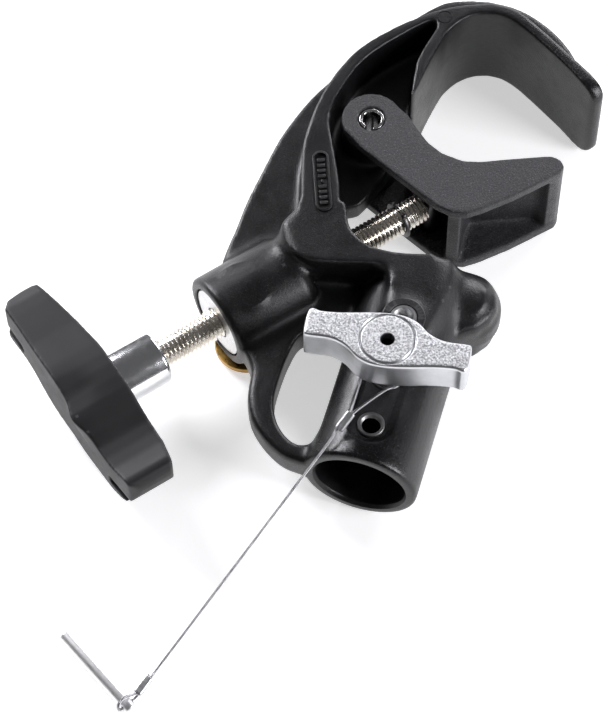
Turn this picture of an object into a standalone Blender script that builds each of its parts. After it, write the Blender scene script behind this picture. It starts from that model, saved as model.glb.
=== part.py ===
"""Pipe clamp lying on its back: +Z is the normal of the clamp's plane, the spigot socket opens towards -Y and the
hook opens towards +X. Lengths below are millimetres and become metres in the meshes. "Drawing" coordinates have the
socket's axis on x = 0; CENTRE moves the finished clamp so that its box stands on the origin."""

import math

import bmesh
import bpy
from mathutils import Matrix, Vector

for old in list(bpy.data.objects):
    bpy.data.objects.remove(old, do_unlink=True)

MM = 0.001
CENTRE = (-41.7, -51.9)
MID = 19.0  # height of the casting's mid-plane
DEPTH = 38.0  # depth of the frame from back to front
GAP = 0.3

# socket for a 28 mm spigot
SOCKET_R, BORE_R = 18.3, 14.3
SOCKET_MOUTH, SOCKET_TOP, BORE_END = -133.0, -64.0, -72.0
FLAT_Z, FLAT_HALF, FLAT_LOW, FLAT_HIGH = 35.5, 7.2, -126.5, -93.0
INSERTS_Y = {"insert_upper": -82.3, "insert_wing": -102.4, "insert_lower": -119.8}
INSERT_R, INSERT_BORE = 4.3, 3.4

# frame
WEB_HALF, FIN_HALF = 4.0, 3.2
PIVOT = (-29.7, -12.5)
PIN_R, PIN_WALL, PIN_HOLE = 4.05, 1.0, 4.45

# screw: a point on its axis and its angle in the clamp's plane; s and t are across and along it
AXIS_POINT, AXIS_ANGLE = (-56.9, -87.2), math.radians(49.2)
SCREW_R, PITCH = 5.0, 1.5
BOSS_R, BOSS_MOUTH, BOSS_DEPTH, BOSS_BORE = 15.6, -4.0, 2.6, 12.1
CLIP_T, TRUNNION_T = 66.4, 79.0
COLLAR_R, COLLAR_T = 9.3, (-46.4, -25.5)
BUTTON_T, STEM_R, BUTTON_TRAVEL = 6.8, 7.4, 1.2
CAP_R, CAP_T, CAP_SIDE = 10.5, 5.0, 3.5  # the button's cap sits off its stem, towards the socket

# jaw
JAW_LOW, JAW_HIGH, PLATE = 1.5, 36.5, 4.0
TRUNNION_R = 3.0

# wing screw
WING_LOW, WING_TOP, HUB_LOW, STUD_LOW = 46.5, 59.5, 37.2, 30.6

AXIS = Vector((math.cos(AXIS_ANGLE), math.sin(AXIS_ANGLE), 0))
ACROSS = Vector((AXIS.y, -AXIS.x, 0))
UP = Vector((0, 0, 1))


def on_axis(t, s=0.0, z=MID):
    """A point t along the screw's axis, s across it in the clamp's plane, at height z."""
    return Vector((*AXIS_POINT, z)) + AXIS * t + ACROSS * s - UP * 0


def finish(name, bm):
    bmesh.ops.remove_doubles(bm, verts=bm.verts, dist=1e-4)
    bmesh.ops.recalc_face_normals(bm, faces=bm.faces)
    shift = Vector((CENTRE[0], CENTRE[1], 0))
    for v in bm.verts:
        v.co = (v.co - shift) * MM
    mesh = bpy.data.meshes.new(name)
    bm.to_mesh(mesh)
    bm.free()
    obj = bpy.data.objects.new(name, mesh)
    bpy.context.scene.collection.objects.link(obj)
    return obj


def curve(points, steps=4, closed=False):
    """Smooth points through the given ones (Catmull-Rom)."""
    pts = [Vector(p) for p in points]
    n = len(pts)
    out = []
    for i in range(n if closed else n - 1):
        p1, p2 = pts[i], pts[(i + 1) % n]
        p0 = pts[i - 1] if closed or i else p1 * 2 - p2
        p3 = pts[(i + 2) % n] if closed or i + 2 < n else p2 * 2 - p1
        for k in range(steps):
            t = k / steps
            a = p1 * 2
            b = (p2 - p0) * t
            c = (p0 * 2 - p1 * 5 + p2 * 4 - p3) * t * t
            d = (p1 * 3 - p0 - p2 * 3 + p3) * t * t * t
            out.append((a + b + c + d) / 2)
    return out if closed else out + [pts[-1]]


def arc(cx, cy, r, start, end, n):
    angles = [math.radians(start + (end - start) * i / n) for i in range(n + 1)]
    return [Vector((cx + r * math.cos(a), cy + r * math.sin(a))) for a in angles]


def prism(name, outline, low, high, place=None, bevel=0.0):
    """The outline (x, y) raised from low to high; place maps the result to drawing coordinates."""
    bm = bmesh.new()
    floor = bm.faces.new([bm.verts.new((p[0], p[1], low)) for p in outline])
    raised = bmesh.ops.extrude_face_region(bm, geom=[floor])
    verts = [e for e in raised["geom"] if isinstance(e, bmesh.types.BMVert)]
    bmesh.ops.translate(bm, verts=verts, vec=(0, 0, high - low))
    if bevel:
        rims = [e for e in bm.edges if abs(e.verts[0].co.z - e.verts[1].co.z) < 1e-6]
        bmesh.ops.bevel(bm, geom=rims, offset=bevel, segments=2, profile=0.5, affect="EDGES")
    if place:
        bm.transform(place)
    return finish(name, bm)


def frame_at(origin, x, y):
    """Matrix taking local x, y, z to the given directions at origin."""
    z = x.cross(y)
    return Matrix.Translation(origin) @ Matrix((x, y, z)).transposed().to_4x4()


def lathe(name, profile, origin, axis, segments=48, closed=True):
    """The closed profile of (radius, height) pairs turned round the axis."""
    side = UP if abs(axis.z) < 0.9 else Vector((1, 0, 0))
    x = side.cross(axis).normalized()
    y = axis.cross(x)
    bm = bmesh.new()
    rings = []
    for r, h in profile:
        if r < 1e-6:
            rings.append([bm.verts.new(Vector(origin) + axis * h)])
            continue
        turn = [2 * math.pi * k / segments for k in range(segments)]
        rings.append(
            [bm.verts.new(Vector(origin) + axis * h + (x * math.cos(a) + y * math.sin(a)) * r) for a in turn]
        )
    pairs = list(zip(rings, rings[1:] + rings[:1], strict=True))
    for a, b in pairs:
        for k in range(segments):
            j = (k + 1) % segments
            corners = [a[k % len(a)], b[k % len(b)], b[j % len(b)], a[j % len(a)]]
            corners = [c for i, c in enumerate(corners) if c not in corners[:i]]
            if len(corners) > 2:
                bm.faces.new(corners)
    return finish(name, bm)


def rod(name, r, origin, axis, low, high, segments=48, chamfer=0.0):
    c = chamfer
    profile = [(0, low), (r - c, low), (r, low + c), (r, high - c), (r - c, high), (0, high)]
    if not c:
        profile = [(0, low), (r, low), (r, high), (0, high)]
    return lathe(name, profile, origin, axis, segments)


def tube(name, outer, inner, origin, axis, low, high, segments=32, chamfer=0.3):
    c = chamfer
    profile = [
        (inner, low),
        (outer - c, low),
        (outer, low + c),
        (outer, high - c),
        (outer - c, high),
        (inner, high),
    ]
    return lathe(name, profile, origin, axis, segments)


def combine(target, others, operation):
    for other in others:
        step = target.modifiers.new(operation, "BOOLEAN")
        step.operation, step.solver, step.object = operation, "EXACT", other
        graph = bpy.context.evaluated_depsgraph_get()
        graph.update()
        made = bpy.data.meshes.new_from_object(target.evaluated_get(graph))
        target.modifiers.clear()
        before, target.data = target.data, made
        bpy.data.meshes.remove(before)
        bpy.data.objects.remove(other, do_unlink=True)
    bm = bmesh.new()
    bm.from_mesh(target.data)
    bmesh.ops.remove_doubles(bm, verts=bm.verts, dist=2e-6)
    bmesh.ops.dissolve_degenerate(bm, edges=bm.edges, dist=1e-6)
    bmesh.ops.triangulate(bm, faces=[f for f in bm.faces if len(f.verts) > 4])
    bm.to_mesh(target.data)
    bm.free()
    return target


def coil(name, radius, wire, low, high, turns, origin, axis, sides=6, per_turn=14):
    """A compression spring with closed ends, as one tube."""
    side = UP if abs(axis.z) < 0.9 else Vector((1, 0, 0))
    x = side.cross(axis).normalized()
    y = axis.cross(x)
    count = int(turns * per_turn)
    bm = bmesh.new()
    rings = []
    for i in range(count + 1):
        f = i / count
        turn = 2 * math.pi * turns * f
        # the end coils lie flat against their neighbours
        flat = 1.0 / turns
        h = (2 * wire + 0.04) / flat * min(f, flat) + (2 * wire + 0.04) / flat * max(0, f - 1 + flat)
        h += (high - low - 2 * wire - 2 * (2 * wire + 0.04)) * min(max(f - flat, 0) / (1 - 2 * flat), 1)
        out = x * math.cos(turn) + y * math.sin(turn)
        centre = Vector(origin) + axis * (low + wire + h) + out * radius
        ring = []
        for k in range(sides):
            a = 2 * math.pi * (k + 0.5) / sides
            ring.append(bm.verts.new(centre + out * (wire * math.cos(a)) + axis * (wire * math.sin(a))))
        rings.append(ring)
    for a, b in zip(rings, rings[1:], strict=False):
        for k in range(sides):
            j = (k + 1) % sides
            bm.faces.new((a[k], a[j], b[j], b[k]))
    bm.faces.new(rings[0])
    bm.faces.new(list(reversed(rings[-1])))
    return finish(name, bm)


def paint(obj, colour, roughness, metallic=0.0):
    material = bpy.data.materials.new(obj.name)
    material.use_nodes = True
    shader = material.node_tree.nodes["Principled BSDF"]
    shader.inputs["Base Color"].default_value = (*colour, 1)
    shader.inputs["Roughness"].default_value = roughness
    shader.inputs["Metallic"].default_value = metallic
    obj.data.materials.clear()
    obj.data.materials.append(material)
    if obj.type == "MESH":
        obj.data.shade_smooth()
        obj.data.set_sharp_from_angle(angle=math.radians(32))
    return obj


def origin_to(obj, point):
    """Puts the object's origin on its joint's axis."""
    here = Vector(((point[0] - CENTRE[0]) * MM, (point[1] - CENTRE[1]) * MM, point[2] * MM))
    obj.data.transform(Matrix.Translation(-here))
    obj.location = here


BLACK = (0.018, 0.018, 0.02)
STEEL = (0.55, 0.55, 0.56)

# ---- frame casting -------------------------------------------------------------------------------------------------
HOOK_INSIDE = [
    (36.6, 16.4), (32.1, 19.7), (26.7, 23.9), (19.6, 28.7), (14.8, 31.8), (10.0, 34.8), (4.8, 37.3), (0.3, 38.1),
    (-4.3, 37.2), (-8.2, 35.2), (-11.4, 32.1), (-13.9, 27.9), (-15.3, 24.1), (-16.9, 15.0), (-18.2, 4.8), (-18.9, -0.6),
]
WEB_EDGE = [(-21.4, -1.6), (-19.6, -12.0), (-20.6, -19.5), (-24.0, -30.0), (-27.0, -37.4), (-31.4, -39.6)]
WINDOW_EDGE = [
    (-31.0, -42.8), (-27.6, -49.3), (-26.4, -52.6), (-23.8, -56.0), (-19.0, -58.8), (-14.8, -59.8), (-9.3, -59.6),
    (-2.8, -58.4), (4.0, -56.4), (9.5, -54.0),
]
PLATE_RIGHT = [(11.8, -57.4), (12.0, -66.0), (10.4, -76.0), (7.6, -88.0), (-7.0, -88.0)]
PAD_EDGE = [
    (-6.9, -77.5), (-8.2, -68.6), (-12.7, -65.4), (-23.1, -67.8), (-32.4, -69.7), (-37.5, -69.3), (-42.3, -67.2),
    (-45.5, -63.8), (-47.4, -60.0), (-46.4, -56.2), (-43.6, -52.0), (-43.4, -48.0),
]
RIM_OUTSIDE = [
    (-45.5, -40.7), (-47.7, -31.9), (-48.6, -24.3), (-48.5, -14.9), (-47.0, -4.1), (-44.4, 4.5), (-41.1, 12.0),
    (-34.6, 20.6), (-25.6, 29.6), (-18.3, 35.2), (-11.2, 38.9), (-3.7, 41.6), (0.2, 42.0), (5.6, 41.3), (13.6, 36.9),
    (20.7, 32.5), (27.3, 28.2), (32.5, 24.9), (37.4, 21.6), (40.4, 19.2), (40.3, 17.2), (39.0, 15.6),
]
outline = (
    curve(HOOK_INSIDE, 2)
    + curve(WEB_EDGE, 2)
    + curve(WINDOW_EDGE, 2)
    + [Vector(p) for p in PLATE_RIGHT]
    + curve(PAD_EDGE, 2)
    + curve(RIM_OUTSIDE, 2)
)
body = prism("clamp_body", outline, 0, DEPTH)

# pockets leave the web, the rim and the saddle wall; the jaw's ears swing in their lower part
POCKET = [
    (-19.6, -1.6), (-21.4, 12.0), (-20.1, 20.5), (-18.6, 27.0), (-19.6, 29.6), (-22.4, 28.4), (-29.0, 21.0),
    (-35.6, 12.6), (-39.6, 5.0), (-42.4, -5.4), (-43.2, -12.0), (-42.2, -18.5), (-39.2, -25.4), (-35.9, -32.6),
    (-33.0, -39.4),
]
pocket = curve(POCKET, 2) + [Vector(p) for p in ((-31.0, -46.0), (-10.0, -46.0), (-10.0, -1.6))]
cuts = [
    prism("cut", pocket, MID + WEB_HALF, DEPTH + 5),
    prism("cut", pocket, -5, MID - WEB_HALF),
]
combine(body, cuts, "DIFFERENCE")

FIN = [
    (-62.0, -75.2), (-63.7, -68.9), (-63.3, -60.5), (-62.9, -54.1), (-62.6, -45.3), (-61.1, -32.8), (-59.3, -19.7),
    (-56.7, -9.9), (-53.7, -1.1), (-49.9, 6.6), (-43.3, 19.6), (-36.2, 30.4), (-28.6, 40.0), (-22.8, 46.9),
    (-17.3, 50.5), (-6.5, 53.3), (3.8, 53.0), (11.5, 50.4), (17.5, 47.1), (22.5, 43.3), (26.7, 38.9), (31.0, 32.0),
    (36.0, 22.6),
]
fin = curve(FIN, 2) + [
    Vector(p)
    for p in (
        (28.0, 26.0), (6.0, 39.5), (-12.0, 36.5), (-30.0, 23.0), (-42.0, 5.0), (-46.0, -20.0), (-42.0, -45.0), (-38.0, -62.5),
    )
]
LOOP = [
    (-50.0, -97.0), (-45.2, -102.4), (-43.0, -106.2), (-42.3, -110.7), (-41.2, -115.9), (-38.4, -121.8),
    (-34.4, -126.2), (-29.5, -129.9), (-24.0, -132.4), (-17.0, -133.0),
]
loop = curve(LOOP, 2) + [Vector(p) for p in ((-8.0, -132.0), (-5.0, -70.0), (-30.0, -66.0), (-46.0, -82.0))]
LOBE_C = (15.6, -64.6)
lobe = [(0, MID - 13.0), (6.5, MID - 12.2), (10.2, MID - 8.6), (12.0, MID - 3.0), (12.0, MID + 3.0)]
lobe += [(10.2, MID + 8.6), (6.5, MID + 12.2), (0, MID + 13.0)]
lobe_root = [
    (4.0, -56.6), (12.8, -53.6), (17.7, -54.2), (22.3, -56.9), (25.6, -61.0), (26.6, -65.4), (25.6, -70.0),
    (22.3, -74.6), (17.0, -78.6), (12.0, -84.0), (6.0, -88.0),
]
adds = [
    prism("add", fin, MID - FIN_HALF, MID + FIN_HALF),
    prism("add", loop, MID - 5.4, MID + 5.4, bevel=1.8),
    prism("add", lobe_root, MID - 10.5, MID + 10.5, bevel=3.0),
    lathe(
        "add",
        [(0, BOSS_MOUTH), (BOSS_R - 0.8, BOSS_MOUTH), (BOSS_R, BOSS_MOUTH + 0.8), (BOSS_R, 24.0), (BOSS_R - 2, 27.5)]
        + [(0, 27.5)],
        on_axis(0),
        AXIS,
        48,
    ),
    lathe(
        "add",
        [(0, SOCKET_MOUTH), (SOCKET_R - 0.8, SOCKET_MOUTH), (SOCKET_R, SOCKET_MOUTH + 0.8), (SOCKET_R, SOCKET_TOP - 5)]
        + [(SOCKET_R - 3, SOCKET_TOP - 1), (SOCKET_R - 8, SOCKET_TOP), (0, SOCKET_TOP)],
        (0, 0, MID),
        Vector((0, 1, 0)),
        48,
    ),
    lathe("add", lobe, (*LOBE_C, 0), UP, 28),
    rod("add", 9.6, (*PIVOT, 0), UP, JAW_LOW + PLATE + 0.4, JAW_HIGH - PLATE - 0.4, 36),
    rod("add", 6.9, (0, INSERTS_Y["insert_upper"], 0), UP, 34.0, 38.9, 36, 0.3),
]
combine(body, adds, "UNION")

D_HOLE = [
    (-32.6, -92.6), (-33.5, -100.0), (-33.6, -109.2), (-32.9, -114.5), (-31.2, -119.2), (-28.6, -122.9),
    (-25.4, -125.6), (-21.6, -127.0), (-18.2, -125.8), (-16.2, -122.4), (-15.8, -117.0), (-15.8, -104.0),
    (-15.9, -96.6), (-16.8, -91.6), (-19.6, -88.2), (-24.0, -87.0), (-28.6, -87.4), (-31.4, -89.4),
]
flat = [(FLAT_HALF, FLAT_HIGH)] + [(-FLAT_HALF, FLAT_HIGH)]
flat += [tuple(p) for p in arc(0, FLAT_LOW + FLAT_HALF, FLAT_HALF, 180, 360, 12)]
cuts = [
    prism("cut", curve(D_HOLE, 2, closed=True), 0, 40),
    lathe(
        "cut",
        [(0, SOCKET_MOUTH - 1.2), (BORE_R + 1.4, SOCKET_MOUTH - 1.2), (BORE_R, SOCKET_MOUTH + 1.2), (BORE_R, BORE_END)]
        + [(0, BORE_END)],
        (0, 0, MID),
        Vector((0, 1, 0)),
        48,
    ),
    prism("cut", flat, FLAT_Z, 42),
    rod("cut", PIN_HOLE, (*PIVOT, 0), UP, -1, 40, 32),
    # screw hole and guide disc pocket
    rod("cut", SCREW_R + 0.6, on_axis(0), AXIS, BOSS_MOUTH - 2, 62.5, 32),
    rod("cut", BOSS_BORE, on_axis(0), AXIS, BOSS_MOUTH - 2, BOSS_MOUTH + BOSS_DEPTH, 48),
    # release button: spot face, counterbore and the stem's blind bore
    rod("cut", CAP_R + 1.3, on_axis(CAP_T, CAP_SIDE, 0), UP, -3, 3.9, 40),
    rod("cut", CAP_R + 0.4, on_axis(CAP_T, CAP_SIDE, 0), UP, -3, 3.3 + BUTTON_TRAVEL + 0.2, 48),
    rod("cut", STEM_R + 0.35, on_axis(BUTTON_T, 0, 0), UP, -3, 32.4, 40),
]
for y in INSERTS_Y.values():
    cuts.append(rod("cut", INSERT_R + 0.25, (0, y, 0), UP, 30, 42, 28))
combine(body, cuts, "DIFFERENCE")

# the hook's tip is rounded off towards the front and the back
TIP_DIR, TIP_OUT, TIP_END, TIP_ROUND = Vector((0.827, -0.564, 0)), Vector((0.564, 0.827, 0)), 23.7, 7.0
for side in (1, -1):
    profile = [(3.0, MID + 1), (3.0, MID - TIP_ROUND), (0.0, MID - TIP_ROUND)]
    profile += [tuple(p) for p in arc(-TIP_ROUND, MID - TIP_ROUND, TIP_ROUND, 15, 90, 5)] + [(-TIP_ROUND, MID + 1)]
    place = frame_at(TIP_DIR * TIP_END + TIP_OUT * 37.0 + UP * MID, TIP_DIR, UP * side)
    combine(body, [prism("cut", profile, -9, 9, place)], "DIFFERENCE")
paint(body, BLACK, 0.42)

# ---- jaw -----------------------------------------------------------------------------------------------------------
JAW_SIDE = [
    (-37.2, -19.0), (-29.4, -24.4), (-19.0, -29.6), (-5.5, -36.3), (-1.0, -38.5), (4.2, -39.6), (9.2, -38.8),
    (13.4, -35.9), (21.7, -28.6), (28.4, -21.8), (34.4, -15.6), (34.9, -13.0), (33.0, -10.9), (30.2, -10.3),
    (28.4, -10.8), (15.9, -15.6), (8.6, -18.6), (3.0, -19.9), (-4.3, -18.9), (-9.7, -16.2), (-14.3, -12.2),
    (-18.5, -7.9), (-22.3, -4.9),
]
ear = [tuple(p) for p in arc(*PIVOT, 9.9, 44, 222, 12)]
side_plate = [Vector(p) for p in JAW_SIDE[1:-1]] + [Vector(p) for p in ear]
jaw = prism("jaw", side_plate, JAW_HIGH - PLATE, JAW_HIGH)
back_plate = prism("add", side_plate, JAW_LOW, JAW_LOW + PLATE)
SADDLE = [
    (34.9, -13.0), (33.0, -10.9), (30.2, -10.3), (28.4, -10.8), (15.9, -15.6), (8.6, -18.6), (3.0, -19.9),
    (-4.3, -18.9), (-9.7, -16.2), (-13.2, -13.2),
]
UNDER = [(-15.6, -16.6), (-11.6, -20.2), (-5.4, -23.2), (3.0, -24.1), (9.8, -22.6), (17.2, -19.6), (27.0, -15.8), (33.2, -16.8)]
saddle_wall = prism("add", [Vector(p) for p in SADDLE + UNDER], JAW_LOW + 0.5, JAW_HIGH - 0.5)
end_wall = prism(
    "add", [Vector(p) for p in ((34.2, -15.6), (34.7, -12.6), (31.5, -12.0), (28.0, -15.6), (31.6, -18.0))], 2.0, 36.0
)
cross_wall = prism(
    "add", [Vector(p) for p in ((3.0, -38.7), (7.4, -38.9), (6.4, -30.0), (7.2, -21.4), (0.2, -21.8), (2.5, -30.0))], 2.0, 36.0
)
combine(jaw, [saddle_wall, end_wall, cross_wall, back_plate], "UNION")
# the trunnion slides a little in oblong pockets in the side plates, as the jaw swings and the screw does not
trunnion_at = on_axis(TRUNNION_T)
radial = Vector((trunnion_at.x - PIVOT[0], trunnion_at.y - PIVOT[1], 0)).normalized()
turned = math.degrees(math.atan2(radial.y, radial.x))
near, far = trunnion_at - radial * 0.5, trunnion_at + radial * 3.1
pocket = arc(near.x, near.y, TRUNNION_R + 0.55, turned + 90, turned + 270, 14)
pocket += arc(far.x, far.y, TRUNNION_R + 0.55, turned - 90, turned + 90, 14)
cuts = [
    rod("cut", PIN_HOLE, (*PIVOT, 0), UP, -1, 40, 32),
    prism("cut", pocket, JAW_LOW + 2.0, JAW_HIGH - 2.0),
]
combine(jaw, cuts, "DIFFERENCE")
paint(jaw, (0.045, 0.045, 0.05), 0.6)
origin_to(jaw, (*PIVOT, MID))

# ---- pivot: slotted spring pin, its slot facing the socket ---------------------------------------------------------
ring = [tuple(p) for p in arc(*PIVOT, PIN_R, -68, 248, 28)]
ring += [tuple(p) for p in arc(*PIVOT, PIN_R - PIN_WALL, 248, -68, 28)]
paint(prism("pivot_pin", ring, 1.9, 36.1), STEEL, 0.25, 1.0)

# ---- main screw ----------------------------------------------------------------------------------------------------
shaft = [
    (0, -45.8), (SCREW_R, -45.8), (SCREW_R, CLIP_T - 0.7), (4.5, CLIP_T - 0.7), (4.5, CLIP_T + 0.7),
    (4.8, CLIP_T + 0.7), (4.8, 74.8), (4.0, 75.8), (1.7, 75.8), (1.7, 82.2), (1.3, 82.6), (0, 82.6),
]
screw = lathe("main_screw", shaft, on_axis(0), AXIS, 32)
paint(screw, (0.62, 0.58, 0.5), 0.28, 1.0)
origin_to(screw, on_axis(0))

clip = [tuple(p) for p in arc(0, 0, 6.2, 18, 342, 28)] + [tuple(p) for p in arc(0, 0, 4.7, 342, 18, 28)]
clip_obj = prism("screw_circlip", clip, CLIP_T - 0.45, CLIP_T + 0.45, frame_at(on_axis(0), UP, ACROSS))
lugs = []
for a in (23.0, 337.0):
    c = Vector((6.5 * math.cos(math.radians(a)), 6.5 * math.sin(math.radians(a)), 0))
    lug = [(c.x + 1.1 * math.cos(k * math.pi / 6), c.y + 1.1 * math.sin(k * math.pi / 6)) for k in range(12)]
    lugs.append(prism("add", lug, CLIP_T - 0.45, CLIP_T + 0.45, frame_at(on_axis(0), UP, ACROSS)))
combine(clip_obj, lugs, "UNION")
paint(clip_obj, (0.12, 0.12, 0.13), 0.35, 1.0)
origin_to(clip_obj, on_axis(CLIP_T))

# cross pin that the screw's tip turns in
trunnion = rod(
    "trunnion", TRUNNION_R, (trunnion_at.x, trunnion_at.y, 0), UP, JAW_LOW + 2.5, JAW_HIGH - 2.5, 32, 0.5
)
combine(trunnion, [rod("cut", 2.0, on_axis(0), AXIS, 60, 95, 28)], "DIFFERENCE")
paint(trunnion, (0.06, 0.06, 0.065), 0.4, 1.0)
origin_to(trunnion, trunnion_at)

# ---- boss: guide disc and quick-release button ---------------------------------------------------------------------
disc = tube("guide_disc", 11.6, SCREW_R + GAP, on_axis(0), AXIS, BOSS_MOUTH + 0.2, BOSS_MOUTH + 2.3, 48)
paint(disc, (0.72, 0.72, 0.72), 0.3, 1.0)

button = rod("release_button", STEM_R, on_axis(BUTTON_T, 0, 0), UP, 1.5, 28.0, 48)
cap = [(0, 0.2), (CAP_R - 1.0, 0.2), (CAP_R, 1.0), (CAP_R, 3.3), (0, 3.3)]
combine(button, [lathe("add", cap, on_axis(CAP_T, CAP_SIDE, 0), UP, 48)], "UNION")
slot_low = rod("cut", SCREW_R + GAP, on_axis(0, 0, MID), AXIS, -10, 25, 28)
slot_high = rod("cut", SCREW_R + GAP, on_axis(0, 0, MID - BUTTON_TRAVEL), AXIS, -10, 25, 28)
combine(button, [slot_low, slot_high], "DIFFERENCE")
paint(button, (0.55, 0.36, 0.1), 0.3, 1.0)
origin_to(button, on_axis(BUTTON_T, 0, 0))
button_spring = coil("button_spring", 4.6, 0.4, 28.3, 32.1, 3.0, on_axis(BUTTON_T, 0, 0), UP)
paint(button_spring, (0.6, 0.6, 0.6), 0.25, 1.0)

# ---- T-handle ------------------------------------------------------------------------------------------------------
collar = tube("handle_collar", COLLAR_R, SCREW_R + GAP, on_axis(0), AXIS, *COLLAR_T, 40, 1.0)
paint(collar, (0.75, 0.76, 0.78), 0.12, 1.0)
origin_to(collar, on_axis(0))

# seen along the screw: each wing is hollowed on one edge only, on opposite edges for the two wings
END_VIEW = [
    (36.2, -5.6), (38.6, -1.4), (39.9, 4.2), (39.0, 8.2), (36.0, 9.2), (30.0, 7.4), (21.0, 7.0), (14.5, 9.4), (9.0, 11.4),
    (0.0, 12.4), (-9.0, 12.0), (-20.0, 10.8), (-32.0, 9.9), (-38.8, 8.8), (-41.0, 5.4), (-41.2, 1.0), (-39.8, -5.0),
    (-37.4, -8.4), (-33.0, -8.6), (-27.0, -7.2), (-21.0, -7.0), (-14.5, -9.4), (-9.0, -11.4), (0.0, -12.4), (9.0, -12.0),
    (20.0, -10.8), (28.0, -9.8), (33.2, -8.4),
]
end_view = curve(END_VIEW, 2, closed=True)
# seen along the clamp's normal: the bar bends away from the clamp towards its ends
INNER = [(-41.2, -48.8), (-39.4, -46.4), (-30.0, -44.6), (-20.0, -43.0), (-8.0, -41.7), (8.0, -41.5), (20.0, -41.5)]
INNER += [(30.0, -41.8), (38.4, -43.6), (41.3, -46.2)]
OUTER = [(40.6, -55.2), (38.2, -59.4), (28.0, -60.3), (14.0, -60.5), (0.0, -60.5), (-14.0, -60.4), (-28.0, -60.0)]
OUTER += [(-36.4, -60.0), (-39.2, -57.4)]
plan_view = [Vector(p) for p in INNER + OUTER]
grip = prism("handle_grip", end_view, 38, 64, frame_at(on_axis(0), ACROSS, UP))
plan = prism("cut", plan_view, -16, 16, frame_at(on_axis(0), ACROSS, AXIS))
combine(grip, [plan], "INTERSECT")
cuts = [rod("cut", COLLAR_R + 0.25, on_axis(0), AXIS, -46.8, -38, 40)]
for s in (-32.4, 32.4):
    slot = [(s + dx, -4.2 + dz) for dx, dz in ((-5.5, -1.8), (5.5, -1.8), (6.0, 0), (5.5, 1.8), (-5.5, 1.8), (-6.0, 0))]
    if s < 0:
        slot = [(x, z + 1.2) for x, z in slot]
    cuts.append(prism("cut", slot, 52, 70, frame_at(on_axis(0), ACROSS, UP)))
combine(grip, cuts, "DIFFERENCE")
paint(grip, (0.022, 0.022, 0.024), 0.62)
origin_to(grip, on_axis(0))

# ---- wing screw in the socket --------------------------------------------------------------------------------------
HALF_WING = [(25.9, -3.4), (25.4, 3.6), (23.6, 4.3), (17.0, 3.8), (12.0, 5.2), (8.0, 8.0), (3.6, 9.4), (-2.0, 9.2), (-8.0, 8.0)]
HALF_WING += [(-16.0, 6.4), (-24.0, 4.2)]
turn = math.radians(2)
wing_outline = [
    (x * math.cos(turn) - y * math.sin(turn), x * math.sin(turn) + y * math.cos(turn) + INSERTS_Y["insert_wing"])
    for x, y in [tuple(p) for p in curve(HALF_WING + [(-x, -y) for x, y in HALF_WING], 2, closed=True)]
]
wing = prism("wing_head", wing_outline, WING_LOW, WING_TOP, bevel=0.7)
wing_axis = (0, INSERTS_Y["insert_wing"], 0)
hub = lathe("add", [(0, HUB_LOW), (4.6, HUB_LOW), (5.4, HUB_LOW + 3), (7.6, WING_LOW + 0.6), (0, WING_LOW + 0.6)], wing_axis, UP, 36)
combine(wing, [hub], "UNION")
bores = [
    rod("cut", 3.5, wing_axis, UP, HUB_LOW - 1, 50.0, 28),
    rod("cut", 1.9, wing_axis, UP, WING_TOP - 4.0, WING_TOP + 1, 24),
]
combine(wing, bores, "DIFFERENCE")
paint(wing, (0.62, 0.63, 0.65), 0.38, 1.0)
origin_to(wing, (wing_axis[0], wing_axis[1], WING_LOW))
stud = rod("wing_stud", 3.2, wing_axis, UP, STUD_LOW, 49.6, 28, 0.6)
paint(stud, STEEL, 0.3, 1.0)
origin_to(stud, (wing_axis[0], wing_axis[1], WING_LOW))

for name, y in INSERTS_Y.items():
    high = {"insert_upper": 38.8, "insert_wing": FLAT_Z, "insert_lower": FLAT_Z + 0.2}[name]
    bore = INSERT_BORE if name != "insert_wing" else 3.5
    insert = tube(name, INSERT_R, bore, (0, y, 0), UP, 33.6, high, 28, 0.25)
    paint(insert, STEEL, 0.32, 1.0)

# ---- safety tether: cable, two crimped ferrules and the loose pin on the floor -------------------------------------
CABLE_R, STRAND = 0.45, 0.52  # STRAND: how far each of two strands lies from a ferrule's middle
NECK = Vector((0.0, INSERTS_Y["insert_wing"], 39.2))
FERRULE_LENGTH = 6.4
CRIMPS = {
    "ferrule_upper": (Vector((-7.5, -122.7, 39.0)), Vector((-0.39, -0.86, -0.33)).normalized()),
    "ferrule_lower": (Vector((-46.9, -209.0, 2.9)), Vector((-0.30, -0.953, 0.0)).normalized()),
}
PIN_ENDS = (Vector((-75.7, -199.4, 2.2)), Vector((-47.6, -217.6, 2.2)))
PIN_RADIUS, PIN_EYE = 2.15, 1.0


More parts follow.
